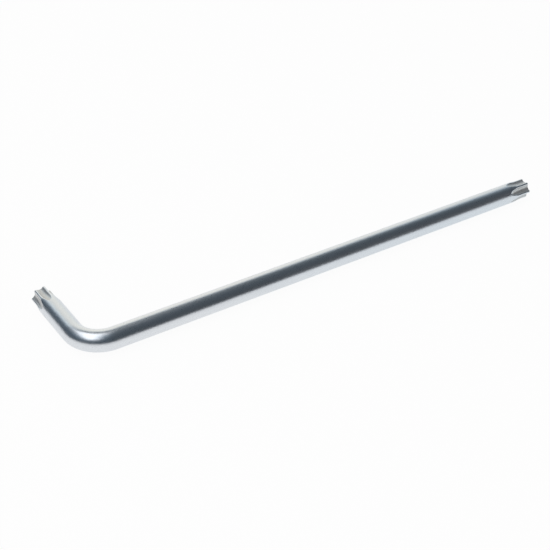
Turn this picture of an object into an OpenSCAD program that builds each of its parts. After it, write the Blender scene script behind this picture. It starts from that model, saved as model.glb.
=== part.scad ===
// Star key: one round steel bar bent to an L, with a six-lobed star milled on each end.
// It lies flat, the long leg along +X and the short leg along +Y, and rests on z = 0.
// The bar is drawn as the stretches it is worked in, which meet face to face.

/* [Star ends] */
// Size of the star across the crests of its lobes
star_a = 7.82; // [6:0.02:10]
// Depth of each flute below the crests
flute_h = 1.11; // [0.95:0.01:1.3]
// Radius of each lobe's crest
lobe_r = 0.58; // [0.5:0.02:0.68]
// Length of each flute at full depth
flute_len = 2.9; // [1.5:0.1:6]
// Radius of the disc cutter that leaves the run-out of each flute
cutter_r = 21; // [12:0.5:30]
// Chamfer round each end
end_chamfer = 0.1; // [0.05:0.05:0.5]
// Relief of the milled end at its tip, below the bar's surface
tip_relief = 0.02; // [0.01:0.01:0.1]
// Turn of the star on the long end, from a lobe lying in the plane of the L
long_turn = 1.25; // [-30:0.25:30]
// Turn of the star on the short end
short_turn = 6.25; // [-30:0.25:30]

/* [Bar] */
// Height of the bar's surface above the crests
crest_step = 0.29; // [0.15:0.01:0.8]

/* [Legs] */
// Length of the long leg, over the outside of the short leg
long_leg = 210.8; // [120:0.1:300]
// Length of the short leg, over the outside of the long leg
short_leg = 42.7; // [36:0.1:90]
// Radius of the bend, at the middle of the bar
bend_r = 11.2; // [8:0.1:14]

/* [Hidden] */
$fn = 72;

// The bar is thick enough for the star, and the flutes are cut down from the star's crests
bar_d = star_a + 2 * crest_step;
star_b = star_a - 2 * flute_h;

// Place of the bar: the two legs' axes cross at the corner point
axis_z = bar_d / 2;
corner_x = (bar_d - long_leg) / 2;
corner_y = (bar_d - short_leg) / 2;
long_end_x = long_leg / 2;
short_end_y = short_leg / 2;

// Star profile: lobe circles joined to flute circles, which cross by a hair instead of only touching
join = 0.01;
lobe_at = star_a / 2 - lobe_r;
flute_floor = star_b / 2;
lobe_reach = lobe_r - join;
flute_top = lobe_reach * lobe_reach - lobe_at * lobe_at - flute_floor * flute_floor
    + 2 * lobe_at * flute_floor * cos(30);
flute_r = flute_top / (2 * (flute_floor - lobe_at * cos(30) - lobe_reach));
flute_at = flute_floor + flute_r;
// Direction from a lobe's middle to the flute beside it, and the point where the two circles meet
meet_x = flute_at * cos(30) - lobe_at;
meet_y = flute_at * sin(30);
meet_len = sqrt(meet_x * meet_x + meet_y * meet_y);
knot_x = lobe_at + (lobe_r - join / 2) * meet_x / meet_len;
knot_y = (lobe_r - join / 2) * meet_y / meet_len;

// Run-out: the cutter climbs from the full depth to the bar's surface
flute_depth = (bar_d - star_b) / 2;
leave_angle = acos(1 - flute_depth / cutter_r);
runout_len = cutter_r * sin(leave_angle);
cutter_sweep = leave_angle + 8;
cutter_half = 34;
cutter_reach = bar_d;
tip_land = 0.8;
tip_len = flute_len + runout_len + tip_land;
blank_r = bar_d / 2 - tip_relief;
cone_len = crest_step - tip_relief + end_chamfer;

// Plain stretches between the bend and the tips
long_arm_len = long_end_x - corner_x - bend_r - tip_len;
short_arm_len = short_end_y - corner_y - bend_r - tip_len;

// Cross-section of the star, with a lobe on +X
module star_section() {
    difference() {
        union() {
            polygon([for (i = [0 : 5], s = [-1, 1])
                [knot_x * cos(60 * i) - s * knot_y * sin(60 * i),
                 knot_x * sin(60 * i) + s * knot_y * cos(60 * i)]]);
            for (i = [0 : 5]) {
                rotate(60 * i)
                    translate([lobe_at, 0])
                        circle(r = lobe_r);
            }
        }
        for (i = [0 : 5]) {
            rotate(60 * i + 30)
                translate([flute_at, 0])
                    circle(r = flute_r);
        }
    }
}

// What one pass of the cutter takes away, seen along the bar, with the flute on +X
module flute_waste() {
    difference() {
        polygon([[0, 0],
            [cutter_reach, -cutter_reach * tan(cutter_half)],
            [cutter_reach, cutter_reach * tan(cutter_half)]]);
        rotate(30)
            star_section();
    }
}

// Run-out of one flute: the same waste swept round the cutter's own axis
module flute_runout() {
    translate([flute_floor + cutter_r, 0, flute_len])
        rotate([90, 0, 180])
            rotate_extrude(angle = cutter_sweep, $fn = 144)
                translate([flute_floor + cutter_r, 0])
                    mirror([1, 0])
                        flute_waste();
}

// End of the bar before milling: relieved a hair towards the tip and chamfered, its end face on z = 0
module tip_blank() {
    rotate_extrude()
        polygon([[0, 0],
            [star_a / 2 - end_chamfer, 0],
            [blank_r, cone_len],
            [bar_d / 2, tip_len],
            [0, tip_len]]);
}

// Milled end, its end face on z = 0 and the bar going up from it
module star_tip() {
    difference() {
        tip_blank();
        translate([0, 0, -1])
            linear_extrude(height = flute_len + 1)
                difference() {
                    circle(r = cutter_reach);
                    star_section();
                }
        for (i = [0 : 5]) {
            rotate([0, 0, 60 * i + 30])
                flute_runout();
        }
    }
}

// Star end of the long leg, for reaching deep screws
module long_star_tip() {
    color("silver")
        translate([long_end_x, corner_y, axis_z])
            rotate([90 + long_turn, 0, 0])
                rotate([0, -90, 0])
                    star_tip();
}

// Plain stretch of the long leg
module long_arm() {
    color("silver")
        translate([corner_x + bend_r, corner_y, axis_z])
            rotate([0, 90, 0])
                cylinder(d = bar_d, h = long_arm_len);
}

// Quarter turn of the bar between the two legs
module bend() {
    color("silver")
        translate([corner_x + bend_r, corner_y + bend_r, axis_z])
            rotate([0, 0, 180])
                rotate_extrude(angle = 90)
                    translate([bend_r, 0])
                        circle(d = bar_d);
}

// Plain stretch of the short leg
module short_arm() {
    color("silver")
        translate([corner_x, corner_y + bend_r, axis_z])
            rotate([-90, 0, 0])
                cylinder(d = bar_d, h = short_arm_len);
}

// Star end of the short leg, for turning hard
module short_star_tip() {
    color("silver")
        translate([corner_x, short_end_y, axis_z])
            rotate([0, -short_turn, 0])
                rotate([90, 0, 0])
                    star_tip();
}

long_star_tip();
long_arm();
bend();
short_arm();
short_star_tip();
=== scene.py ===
import math

import bmesh
import bpy
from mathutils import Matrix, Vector


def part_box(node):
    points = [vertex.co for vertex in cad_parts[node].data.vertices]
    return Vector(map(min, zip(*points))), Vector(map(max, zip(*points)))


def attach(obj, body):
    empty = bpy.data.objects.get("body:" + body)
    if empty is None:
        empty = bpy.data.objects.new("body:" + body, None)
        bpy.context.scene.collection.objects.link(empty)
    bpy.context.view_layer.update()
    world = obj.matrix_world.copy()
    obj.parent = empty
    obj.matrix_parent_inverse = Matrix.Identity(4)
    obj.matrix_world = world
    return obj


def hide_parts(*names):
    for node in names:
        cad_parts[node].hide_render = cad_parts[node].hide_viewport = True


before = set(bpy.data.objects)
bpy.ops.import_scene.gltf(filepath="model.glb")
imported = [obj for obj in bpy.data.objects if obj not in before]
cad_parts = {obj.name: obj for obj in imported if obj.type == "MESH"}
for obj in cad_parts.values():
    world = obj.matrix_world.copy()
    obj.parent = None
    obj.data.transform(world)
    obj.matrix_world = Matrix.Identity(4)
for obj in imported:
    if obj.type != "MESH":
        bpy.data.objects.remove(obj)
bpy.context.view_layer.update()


# The key is one length of round chrome-vanadium steel bar, cut off, milled to a
# star at both ends, bent to an L, hardened, blasted and chrome plated. The five
# solids of the frame are stretches of that bar, so one unbroken skin stands for them.
MM = 0.001


def add(tree, kind, inputs=(), **settings):
    """Adds one node and gives its first output.

    Settings are the node's own. Inputs are values or links for its sockets: a list in order, or a
    dictionary by name or place.
    """
    node = tree.nodes.new(kind)
    for name, value in settings.items():
        setattr(node, name, value)
    pairs = inputs.items() if isinstance(inputs, dict) else enumerate(inputs)
    for socket, value in pairs:
        if isinstance(value, bpy.types.NodeSocket):
            tree.links.new(value, node.inputs[socket])
        else:
            node.inputs[socket].default_value = value
    return node.outputs[0] if node.outputs else None


def linear(code):
    """An sRGB hex colour as linear red, green, blue and alpha."""
    parts = [int(code[i:i + 2], 16) / 255 for i in (1, 3, 5)]
    return [p / 12.92 if p <= 0.04045 else ((p + 0.055) / 1.055) ** 2.4 for p in parts] + [1.0]


# Sizes that the frame gives
arm_low, arm_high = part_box("long_arm")
bend_low, bend_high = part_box("bend")
tip_low, tip_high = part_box("long_star_tip")
short_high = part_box("short_star_tip")[1]
bar_r = (arm_high.z - arm_low.z) / 2
corner = Vector((bend_low.x + bar_r, bend_low.y + bar_r, arm_low.z + bar_r))
long_leg = tip_high.x - corner.x
short_leg = short_high.y - corner.y
bend_r = bend_high.x - corner.x
tip_len = tip_high.x - tip_low.x

# The star: six lobes, whose circles touch the circles of the flutes between them
CREST_R = 3.91 * MM
FLOOR_R = 2.8 * MM
LOBE_R = 0.58 * MM
FLUTE_LEN = 2.9 * MM          # at full depth, before the cutter climbs out
CUTTER_R = 21 * MM
END_CHAMFER = 0.1 * MM
EDGE_ROUND = 0.05 * MM
LONG_TURN = math.radians(1.25)
SHORT_TURN = math.radians(6.25)
HALF_PITCH = math.pi / 6      # from the middle of a flute to the middle of a lobe
lobe_at = CREST_R - LOBE_R
lobe_x = lobe_at * math.cos(HALF_PITCH)
lobe_y = lobe_at * math.sin(HALF_PITCH)
flute_over = LOBE_R ** 2 - lobe_at ** 2 - FLOOR_R ** 2 + 2 * FLOOR_R * lobe_x
flute_r = flute_over / (2 * (FLOOR_R - lobe_x - LOBE_R))
flute_x = FLOOR_R + flute_r
join_share = LOBE_R / math.hypot(flute_x - lobe_x, lobe_y)
join_x = lobe_x + join_share * (flute_x - lobe_x)
join_y = lobe_y - join_share * lobe_y


# Satin chrome over a blasted bar: a bright metal whose fine pits soften every
# reflection a little, so it mirrors the room in broad bands with soft edges. Chrome
# builds up on edges and thins out in the milled flutes, which stay greyer and duller.
PIT_WIDTH = 0.3 * MM          # real pits are about 0.05 mm wide; drawn coarser, so that they show
PIT_DEPTH = 0.025 * MM
PIT_RANGE = (0.3, 0.7)        # where most of the noise that draws the pits lies
LINE_GAP = 0.45 * MM          # real milling lines are about 0.05 mm apart; drawn coarser, so that they show
LINE_WIDTH_TO_LENGTH = 0.06
BRIGHT_RIM = 0.15 * MM        # a flute is bright to this depth below its rim
DULL_FLOOR = 0.3 * MM         # and dull from this depth
SATIN_ROUGHNESS = (0.27, 0.34)
FLUTE_ROUGHNESS = 0.36
FLUTE_METAL = 0.77
MATH, RANGE, MIX = "ShaderNodeMath", "ShaderNodeMapRange", "ShaderNodeMix"
# A Mix node's sockets by place, because its numbers and its colours share their names
SHARE, NUMBER_A, NUMBER_B, COLOUR_A, COLOUR_B = 0, 2, 3, 6, 7
MIXED_COLOUR = 2
chrome = bpy.data.materials.new("satin chrome on blasted and milled steel")
chrome.use_nodes = True
finish = chrome.node_tree
finish.nodes.clear()
below_rim = add(finish, "ShaderNodeAttribute", attribute_name="below_rim").node.outputs["Fac"]
dull = add(finish, RANGE, [below_rim, BRIGHT_RIM, DULL_FLOOR], interpolation_type="SMOOTHSTEP")
here = add(finish, "ShaderNodeTexCoord").node.outputs["Object"]
pits = add(finish, "ShaderNodeTexNoise", {"Vector": here, "Scale": 1 / PIT_WIDTH})
round_bar = add(finish, "ShaderNodeAttribute", attribute_name="round_bar").node.outputs["Fac"]
along_bar = add(finish, "ShaderNodeAttribute", attribute_name="from_end").node.outputs["Fac"]
drawn_out = add(finish, MATH, [along_bar, LINE_WIDTH_TO_LENGTH], operation="MULTIPLY")
track = add(finish, "ShaderNodeCombineXYZ", [round_bar, drawn_out])
lines = add(finish, "ShaderNodeTexNoise", {"Vector": track, "Scale": 1 / LINE_GAP})
grain = add(finish, MIX, {SHARE: dull, NUMBER_A: pits, NUMBER_B: lines})
dents = add(finish, "ShaderNodeBump", {"Distance": PIT_DEPTH, "Height": grain})
satin = add(finish, RANGE, [pits, *PIT_RANGE, *SATIN_ROUGHNESS])
roughness = add(finish, MIX, {SHARE: dull, NUMBER_A: satin, NUMBER_B: FLUTE_ROUGHNESS})
speckle = add(finish, MIX, {SHARE: pits, COLOUR_A: linear("#D0D1D4"), COLOUR_B: linear("#F8F9FB")},
              data_type="RGBA").node.outputs[MIXED_COLOUR]
tone = add(finish, MIX, {SHARE: dull, COLOUR_A: speckle, COLOUR_B: linear("#CECDCB")},
           data_type="RGBA").node.outputs[MIXED_COLOUR]
metal = add(finish, RANGE, [dull, 0.0, 1.0, 1.0, FLUTE_METAL])
plating = add(finish, "ShaderNodeBsdfPrincipled",
              {"Base Color": tone, "Metallic": metal, "Roughness": roughness, "Normal": dents})
add(finish, "ShaderNodeOutputMaterial", [plating])


# A plain tube of rows and columns is wrapped along the L, and each point's height
# above the bar's middle follows the milling: the star, the climbing cutter, the bar.
COLUMNS, TIP_ROWS, ARM_ROWS, BEND_ROWS = 288, 110, 6, 48
CLIMB_SHARE = 0.9             # of the cutter's radius; by then the cutter is far above the bar
sizes = {
    "Bar radius": bar_r, "Long leg": long_leg, "Short leg": short_leg, "Bend radius": bend_r,
    "Corner": corner, "Tip length": tip_len, "Crest radius": CREST_R, "Lobe radius": LOBE_R,
    "Lobe centre": Vector((lobe_x, lobe_y, 0)), "Flute radius": flute_r, "Flute centre": flute_x,
    "Join": Vector((join_x, join_y, 0)), "Flute length": FLUTE_LEN, "Cutter radius": CUTTER_R,
    "End chamfer": END_CHAMFER, "Edge rounding": EDGE_ROUND,
    "Long turn": LONG_TURN, "Short turn": SHORT_TURN,
    "Columns": COLUMNS, "Tip rows": TIP_ROWS, "Arm rows": ARM_ROWS, "Bend rows": BEND_ROWS,
    "Finish": chrome,
}
SOCKETS = {float: "NodeSocketFloat", int: "NodeSocketInt", Vector: "NodeSocketVector",
           bpy.types.Material: "NodeSocketMaterial"}
tree = bpy.data.node_groups.new("bar worked to a star key", "GeometryNodeTree")
tree.interface.new_socket("Key", in_out="OUTPUT", socket_type="NodeSocketGeometry")
asked = {name: tree.interface.new_socket(name, in_out="INPUT", socket_type=SOCKETS[type(value)])
         for name, value in sizes.items()}
given = add(tree, "NodeGroupInput").node.outputs

# Rows along the bar, from the short end to the long end, close together at the tips and round the bend
quarter = add(tree, MATH, [given["Bend radius"], math.pi / 2], operation="MULTIPLY")
short_run = add(tree, MATH, [given["Short leg"], given["Bend radius"]], operation="SUBTRACT")
long_run = add(tree, MATH, [given["Long leg"], given["Bend radius"]], operation="SUBTRACT")
short_plain = add(tree, MATH, [short_run, given["Tip length"]], operation="SUBTRACT")
long_plain = add(tree, MATH, [long_run, given["Tip length"]], operation="SUBTRACT")
bend_end = add(tree, MATH, [short_run, quarter], operation="ADD")
whole = add(tree, MATH, [bend_end, long_run], operation="ADD")
row_count = 0.0
stretches = []
for rows, run in (("Tip rows", given["Tip length"]), ("Arm rows", short_plain), ("Bend rows", quarter),
                  ("Arm rows", long_plain), ("Tip rows", given["Tip length"])):
    first = row_count
    row_count = add(tree, MATH, [first, given[rows]], operation="ADD")
    stretches.append((first, row_count, run))
tube = add(tree, "GeometryNodeMeshCylinder",
           {"Vertices": given["Columns"], "Side Segments": row_count, "Radius": 1.0, "Depth": row_count},
           fill_type="TRIANGLE_FAN")
sides = tube.node.outputs["Side"]
point = add(tree, "ShaderNodeSeparateXYZ", [add(tree, "GeometryNodeInputPosition")]).node.outputs
row = add(tree, MATH, [row_count, 0.5, point["Z"]], operation="MULTIPLY_ADD")
travel = 0.0
for first, last, run in stretches:
    travelled = add(tree, RANGE, [row, first, last, 0.0, run])
    travel = add(tree, MATH, [travel, travelled], operation="ADD")
angle = add(tree, MATH, [point["Y"], point["X"]], operation="ARCTAN2")
level = add(tree, "ShaderNodeCombineXYZ", [point["X"], point["Y"]])
off_middle = add(tree, "ShaderNodeVectorMath", [level], operation="LENGTH").node.outputs["Value"]

# How far the cutter has climbed, from the distance to the nearer end
travel_left = add(tree, MATH, [whole, travel], operation="SUBTRACT")
from_end = add(tree, MATH, [travel, travel_left], operation="MINIMUM")
on_long = add(tree, MATH, [travel, travel_left], operation="GREATER_THAN")
climb_len = add(tree, MATH, [given["Cutter radius"], CLIMB_SHARE], operation="MULTIPLY")
climb_end = add(tree, MATH, [given["Flute length"], climb_len], operation="ADD")
climb = add(tree, RANGE, [from_end, given["Flute length"], climb_end, 0.0, climb_len])
climb_2 = add(tree, MATH, [climb, climb], operation="MULTIPLY")
cutter_2 = add(tree, MATH, [given["Cutter radius"], given["Cutter radius"]], operation="MULTIPLY")
chord_2 = add(tree, MATH, [cutter_2, climb_2], operation="SUBTRACT")
chord = add(tree, MATH, [chord_2], operation="SQRT")
lift = add(tree, MATH, [given["Cutter radius"], chord], operation="SUBTRACT")

# Angle from the middle of the nearest flute
turn = add(tree, RANGE, [on_long, 0.0, 1.0, given["Short turn"], given["Long turn"]])
turned = add(tree, MATH, [angle, turn], operation="SUBTRACT")
wrapped = add(tree, MATH, [turned, HALF_PITCH, -HALF_PITCH], operation="WRAP")
off_flute = add(tree, MATH, [wrapped], operation="ABSOLUTE")
cosine = add(tree, MATH, [off_flute], operation="COSINE")
sine = add(tree, MATH, [off_flute], operation="SINE")

# Height of the flute's floor
flute_at = add(tree, MATH, [given["Flute centre"], lift], operation="ADD")
flute_off = add(tree, MATH, [flute_at, sine], operation="MULTIPLY")
flute_off_2 = add(tree, MATH, [flute_off, flute_off], operation="MULTIPLY")
flute_2 = add(tree, MATH, [given["Flute radius"], given["Flute radius"]], operation="MULTIPLY")
flute_rest = add(tree, MATH, [flute_2, flute_off_2], operation="SUBTRACT")
flute_rest = add(tree, MATH, [flute_rest, 0.0], operation="MAXIMUM")
flute_half = add(tree, MATH, [flute_rest], operation="SQRT")
flute_near = add(tree, MATH, [flute_at, cosine], operation="MULTIPLY")
flute_top = add(tree, MATH, [flute_near, flute_half], operation="SUBTRACT")

# Height of the lobe beside it
lobe = add(tree, "ShaderNodeSeparateXYZ", [given["Lobe centre"]]).node.outputs
lobe_up = add(tree, MATH, [lobe["X"], lift], operation="ADD")
lobe_y_sine = add(tree, MATH, [lobe["Y"], sine], operation="MULTIPLY")
lobe_near = add(tree, MATH, [lobe_up, cosine, lobe_y_sine], operation="MULTIPLY_ADD")
lobe_up_sine = add(tree, MATH, [lobe_up, sine], operation="MULTIPLY")
lobe_y_cosine = add(tree, MATH, [lobe["Y"], cosine], operation="MULTIPLY")
lobe_off = add(tree, MATH, [lobe_up_sine, lobe_y_cosine], operation="SUBTRACT")
lobe_off_2 = add(tree, MATH, [lobe_off, lobe_off], operation="MULTIPLY")
lobe_2 = add(tree, MATH, [given["Lobe radius"], given["Lobe radius"]], operation="MULTIPLY")
lobe_rest = add(tree, MATH, [lobe_2, lobe_off_2], operation="SUBTRACT")
lobe_rest = add(tree, MATH, [lobe_rest, 0.0], operation="MAXIMUM")
lobe_half = add(tree, MATH, [lobe_rest], operation="SQRT")
lobe_top = add(tree, MATH, [lobe_near, lobe_half], operation="ADD")

# The flute up to the join, the lobe past it, and never above the bar or its end chamfer
join = add(tree, "ShaderNodeSeparateXYZ", [given["Join"]]).node.outputs
join_up = add(tree, MATH, [join["X"], lift], operation="ADD")
join_angle = add(tree, MATH, [join["Y"], join_up], operation="ARCTAN2")
on_lobe = add(tree, MATH, [off_flute, join_angle], operation="GREATER_THAN")
cut = add(tree, RANGE, [on_lobe, 0.0, 1.0, flute_top, lobe_top])
worked = add(tree, MATH, [cut, given["Bar radius"], given["Edge rounding"]], operation="SMOOTH_MIN")
face_r = add(tree, MATH, [given["Crest radius"], given["End chamfer"]], operation="SUBTRACT")
cone = add(tree, MATH, [face_r, from_end], operation="ADD")
height = add(tree, MATH, [worked, cone, given["Edge rounding"]], operation="SMOOTH_MIN")
outward = add(tree, MATH, [height, off_middle], operation="MULTIPLY")

# Depth below the flute's rim, which the end faces don't have
crest_top = add(tree, MATH, [given["Crest radius"], lift], operation="ADD")
rim_top = add(tree, MATH, [crest_top, given["Bar radius"]], operation="MINIMUM")
sunk = add(tree, MATH, [rim_top, height], operation="SUBTRACT")
sunk = add(tree, MATH, [sunk, sides], operation="MULTIPLY")

# The L: down the short leg, round the bend, and along the long leg
bent = add(tree, RANGE, [travel, short_run, bend_end, 0.0, math.pi / 2])
bent_cos = add(tree, MATH, [bent], operation="COSINE")
bent_sin = add(tree, MATH, [bent], operation="SINE")
short_part = add(tree, MATH, [travel, short_run], operation="MINIMUM")
short_y = add(tree, MATH, [given["Short leg"], short_part], operation="SUBTRACT")
bend_y = add(tree, MATH, [given["Bend radius"], bent_sin], operation="MULTIPLY")
mid_y = add(tree, MATH, [short_y, bend_y], operation="SUBTRACT")
past_bend = add(tree, MATH, [travel, bend_end], operation="SUBTRACT")
long_x = add(tree, MATH, [past_bend, 0.0], operation="MAXIMUM")
bend_share = add(tree, MATH, [1.0, bent_cos], operation="SUBTRACT")
bend_x = add(tree, MATH, [bend_share, given["Bend radius"]], operation="MULTIPLY")
mid_x = add(tree, MATH, [bend_x, long_x], operation="ADD")

# The skin stands out from the middle of the bar, sideways and upwards
angle_sin = add(tree, MATH, [angle], operation="SINE")
angle_cos = add(tree, MATH, [angle], operation="COSINE")
sideways = add(tree, MATH, [outward, angle_sin], operation="MULTIPLY")
upwards = add(tree, MATH, [outward, angle_cos], operation="MULTIPLY")
side_x = add(tree, MATH, [sideways, bent_cos], operation="MULTIPLY")
side_y = add(tree, MATH, [sideways, bent_sin], operation="MULTIPLY")
skin_x = add(tree, MATH, [mid_x, side_x], operation="SUBTRACT")
skin_y = add(tree, MATH, [mid_y, side_y], operation="SUBTRACT")
from_corner = add(tree, "ShaderNodeCombineXYZ", [skin_x, skin_y, upwards])
place = add(tree, "ShaderNodeVectorMath", [from_corner, given["Corner"]], operation="ADD")

# Marks kept for the finish, then the tube takes its shape
around = add(tree, MATH, [angle, given["Bar radius"]], operation="MULTIPLY")
marks = (("from_end", from_end, "POINT"), ("round_bar", around, "POINT"), ("below_rim", sunk, "CORNER"))
for name, value, domain in marks:
    tube = add(tree, "GeometryNodeStoreNamedAttribute", {"Geometry": tube, "Name": name, "Value": value},
               data_type="FLOAT", domain=domain)
skin = add(tree, "GeometryNodeSetPosition", {"Geometry": tube, "Position": place})
skin = add(tree, "GeometryNodeSetShadeSmooth", [skin, sides, True])
skin = add(tree, "GeometryNodeRealizeInstances", [skin])
skin = add(tree, "GeometryNodeSetMaterial", {"Geometry": skin, "Material": given["Finish"]})
add(tree, "NodeGroupOutput", [skin])

maker = bpy.data.objects.new("key maker", bpy.data.meshes.new("key maker"))
bpy.context.scene.collection.objects.link(maker)
worker = maker.modifiers.new("worked", "NODES")
worker.node_group = tree
for name, value in sizes.items():
    worker[asked[name].identifier] = value
bpy.context.view_layer.update()
made = bpy.data.meshes.new_from_object(maker.evaluated_get(bpy.context.evaluated_depsgraph_get()))
bpy.data.objects.remove(maker)
key = bpy.data.objects.new("star_key_bar", made)
bpy.context.scene.collection.objects.link(key)
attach(key, "root")
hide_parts("long_star_tip", "long_arm", "bend", "short_arm", "short_star_tip")


# The table: a white board, plain and matt, that the key lies on. It shows white to
# the eye; in the chrome it shows a painted reflection that turns bluer to the right, and it still takes the
# key's soft shadow.
BOARD_REACH = 1.5             # metres from its middle to each edge
BOARD_WHITE = 0.94            # share that shows plain white; the rest takes the shadow
BLUE_FROM, BLUE_TO = -60 * MM, 60 * MM
board = bpy.data.materials.new("white board")
board.use_nodes = True
paint = board.node_tree
paint.nodes.clear()
ray = add(paint, "ShaderNodeLightPath").node.outputs
seen = add(paint, MATH, [ray["Is Camera Ray"], ray["Is Glossy Ray"]], operation="MAXIMUM")
seen = add(paint, MATH, [seen, ray["Is Transmission Ray"]], operation="MAXIMUM")
here = add(paint, "ShaderNodeTexCoord").node.outputs["Object"]
board_x = add(paint, "ShaderNodeSeparateXYZ", [here]).node.outputs["X"]
# painted reflection: in the chrome alone, the board turns bluer towards the right
to_right = add(paint, RANGE, [board_x, BLUE_FROM, BLUE_TO])
painted_sheen = add(paint, MIX, {SHARE: to_right, COLOUR_A: linear("#F6F9FB"), COLOUR_B: linear("#EAF2F7")},
            data_type="RGBA").node.outputs[MIXED_COLOUR]
shown = add(paint, MIX, {SHARE: ray["Is Camera Ray"], COLOUR_A: painted_sheen, COLOUR_B: linear("#FFFFFF")},
            data_type="RGBA").node.outputs[MIXED_COLOUR]
matt = add(paint, "ShaderNodeBsdfDiffuse", [linear("#F4F4F4")])
white = add(paint, "ShaderNodeEmission", [shown])
white_share = add(paint, MATH, [seen, BOARD_WHITE], operation="MULTIPLY")
surface = add(paint, "ShaderNodeMixShader", [white_share, matt, white])
add(paint, "ShaderNodeOutputMaterial", [surface])
edges = [(x * BOARD_REACH, y * BOARD_REACH, 0) for x, y in ((-1, -1), (1, -1), (1, 1), (-1, 1))]
sheet = bpy.data.meshes.new("table")
sheet.from_pydata(edges, [], [(0, 1, 2, 3)])
sheet.materials.append(board)
table = bpy.data.objects.new("table", sheet)
bpy.context.scene.collection.objects.link(table)


# The studio's one lamp: a wide softbox faced with white cloth, hung level above the
# table and to the left of the key. It lights the key and shows in the chrome.
LAMP_UP = 1.2                 # metres above the corner of the L
LAMP_WAY = Vector((-0.476, -0.081, 1.0))
LAMP_TURN = math.radians(-39.6)
LAMP_WIDTH, LAMP_LENGTH = 0.81, 1.7616
LAMP_WHITE = 1.5              # brightness of its cloth, where 1 is white
lamp = bpy.data.lights.new("softbox", "AREA")
lamp.shape = "RECTANGLE"
lamp.size, lamp.size_y = LAMP_WIDTH, LAMP_LENGTH
lamp.energy = LAMP_WHITE * math.pi * LAMP_WIDTH * LAMP_LENGTH
softbox = bpy.data.objects.new("softbox", lamp)
softbox.location = corner + LAMP_WAY * LAMP_UP
softbox.rotation_euler = (0, 0, LAMP_TURN)
softbox.visible_camera = False
bpy.context.scene.collection.objects.link(softbox)


# The studio's walls: dim slate paint all round, with painted bluish light on the left, a
# painted halo of light round the softbox, a faint painted warm glow at the front right, and a
# white cloth hung behind the table, its edges painted in bluish shade. They show in the chrome
# alone. Each pair gives where a thing starts and where it is full.
CLOTH_LEFT = (math.radians(-24), math.radians(-13))
CLOTH_RIGHT = (math.radians(108), math.radians(22))
CLOTH_TOP = (math.radians(54), math.radians(40))
HALO_EDGE = (math.radians(47), math.radians(12))
HALO_LIGHT = linear("#49616E")[:3]
GLOW_WAY = Vector((0.718, -0.646, 0.259))
GLOW_EDGE = (math.radians(40), math.radians(10))
GLOW_LIGHT = linear("#2D241D")[:3]
BLUE_SIDE = (0.1, -0.2)
PLAIN_TINT, PAINTED_BLUE_LIGHT = (1.0, 1.0, 1.0, 1.0), (0.89, 0.99, 1.09, 1.0)
WALL_RADIUS = 5.0
WALL_FOOT = math.radians(-3)
WALL_PANELS, WALL_RINGS = 48, 60
VECTOR = "ShaderNodeVectorMath"
walls = bpy.data.materials.new("studio walls and hung cloth")
walls.use_nodes = True
paint = walls.node_tree
paint.nodes.clear()
here = add(paint, "ShaderNodeTexCoord").node.outputs["Object"]
facing = add(paint, VECTOR, [here], operation="NORMALIZE")
facing_part = add(paint, "ShaderNodeSeparateXYZ", [facing]).node.outputs
rise = add(paint, MATH, [facing_part["Z"]], operation="ARCSINE")
bearing = add(paint, MATH, [facing_part["X"], facing_part["Y"]], operation="ARCTAN2")
cloth = add(paint, RANGE, [rise, *CLOTH_TOP], interpolation_type="SMOOTHSTEP")
for edge in (CLOTH_LEFT, CLOTH_RIGHT):
    inside = add(paint, RANGE, [bearing, *edge], interpolation_type="SMOOTHSTEP")
    cloth = add(paint, MATH, [cloth, inside], operation="MULTIPLY")
shade = add(paint, "ShaderNodeValToRGB", [cloth])
fade = shade.node.color_ramp.elements
fade[0].color = linear("#434C54")
fade[1].color = linear("#FFFFF8")
# painted shade: the cloth's edge, where it fades into the walls, is painted bluish
fade.new(0.5).color = linear("#B4C8D6")
for way, edge, light in ((LAMP_WAY.normalized(), HALO_EDGE, HALO_LIGHT), (GLOW_WAY, GLOW_EDGE, GLOW_LIGHT)):
    toward = add(paint, VECTOR, [facing, way], operation="DOT_PRODUCT").node.outputs["Value"]
    apart = add(paint, MATH, [toward], operation="ARCCOSINE")
    glow = add(paint, RANGE, [apart, *edge], interpolation_type="SMOOTHSTEP")
    shade = add(paint, VECTOR, [light, glow, shade], operation="MULTIPLY_ADD")
# painted bluish light over the left side of the walls and the cloth
to_left = add(paint, RANGE, [facing_part["X"], *BLUE_SIDE], interpolation_type="SMOOTHSTEP")
painted_blue_light = add(paint, MIX, {SHARE: to_left, COLOUR_A: PLAIN_TINT, COLOUR_B: PAINTED_BLUE_LIGHT},
           data_type="RGBA").node.outputs[MIXED_COLOUR]
shade = add(paint, VECTOR, [shade, painted_blue_light], operation="MULTIPLY")
add(paint, "ShaderNodeOutputMaterial", [add(paint, "ShaderNodeEmission", [shade])])
dome = bmesh.new()
bmesh.ops.create_uvsphere(dome, u_segments=WALL_PANELS, v_segments=WALL_RINGS, radius=WALL_RADIUS)
foot_z = WALL_RADIUS * math.sin(WALL_FOOT)
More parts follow.
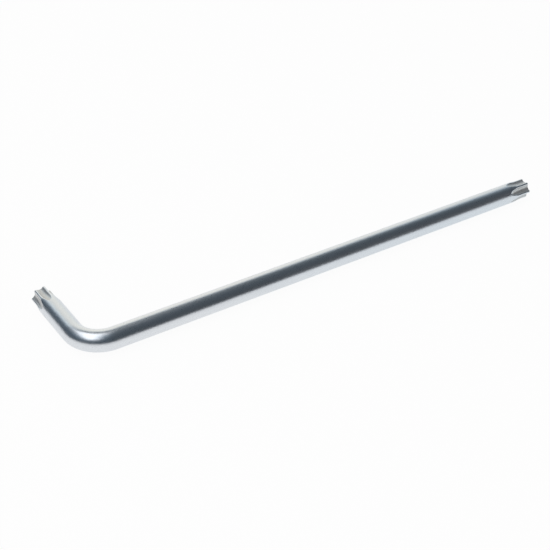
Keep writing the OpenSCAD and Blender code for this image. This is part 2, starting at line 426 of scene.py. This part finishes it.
below_foot = [face for face in dome.faces if face.calc_center_median().z < foot_z]
bmesh.ops.delete(dome, geom=below_foot, context="FACES")
shell = bpy.data.meshes.new("studio")
dome.to_mesh(shell)
dome.free()
shell.materials.append(walls)
studio = bpy.data.objects.new("studio", shell)
studio.visible_camera = False
studio.visible_diffuse = False
studio.visible_shadow = False
bpy.context.scene.collection.objects.link(studio)


# The room's own light: even and white from all sides, at full white where it is seen
# and dimmer where it only lights the key.
ROOM_LIGHT = 0.6
world = bpy.data.worlds.new("white room")
world.use_nodes = True
paint = world.node_tree
paint.nodes.clear()
ray = add(paint, "ShaderNodeLightPath").node.outputs
seen = add(paint, MATH, [ray["Is Camera Ray"], ray["Is Glossy Ray"]], operation="MAXIMUM")
seen = add(paint, MATH, [seen, ray["Is Transmission Ray"]], operation="MAXIMUM")
power = add(paint, RANGE, [seen, 0.0, 1.0, ROOM_LIGHT, 1.0])
room = add(paint, "ShaderNodeBackground", [linear("#FFFFFF"), power])
add(paint, "ShaderNodeOutputWorld", [room])
bpy.context.scene.world = world


# The camera, where the photograph was taken from: in front of the bend, well above the
# table, aimed at a point on the long leg.
CAMERA_BEARING, CAMERA_RISE = math.radians(-32.907), math.radians(34.322)
CAMERA_AIM = Vector((81.07773, 2.20173, 0.0)) * MM         # from the corner of the L
CAMERA_AWAY = 476.2688 * MM
FOCAL_PIXELS, PHOTO_PIXELS = 1238.255, 550
back = Vector((math.sin(CAMERA_BEARING) * math.cos(CAMERA_RISE),
               -math.cos(CAMERA_BEARING) * math.cos(CAMERA_RISE),
               math.sin(CAMERA_RISE)))
lens = bpy.data.cameras.new("camera")
lens.lens = lens.sensor_width * FOCAL_PIXELS / PHOTO_PIXELS
lens.clip_start = 0.01
camera = bpy.data.objects.new("camera", lens)
camera.location = corner + CAMERA_AIM + back * CAMERA_AWAY
camera.rotation_euler = (-back).to_track_quat("-Z", "Y").to_euler()
bpy.context.scene.collection.objects.link(camera)
bpy.context.scene.camera = camera
bpy.context.scene.view_settings.view_transform = "Standard"
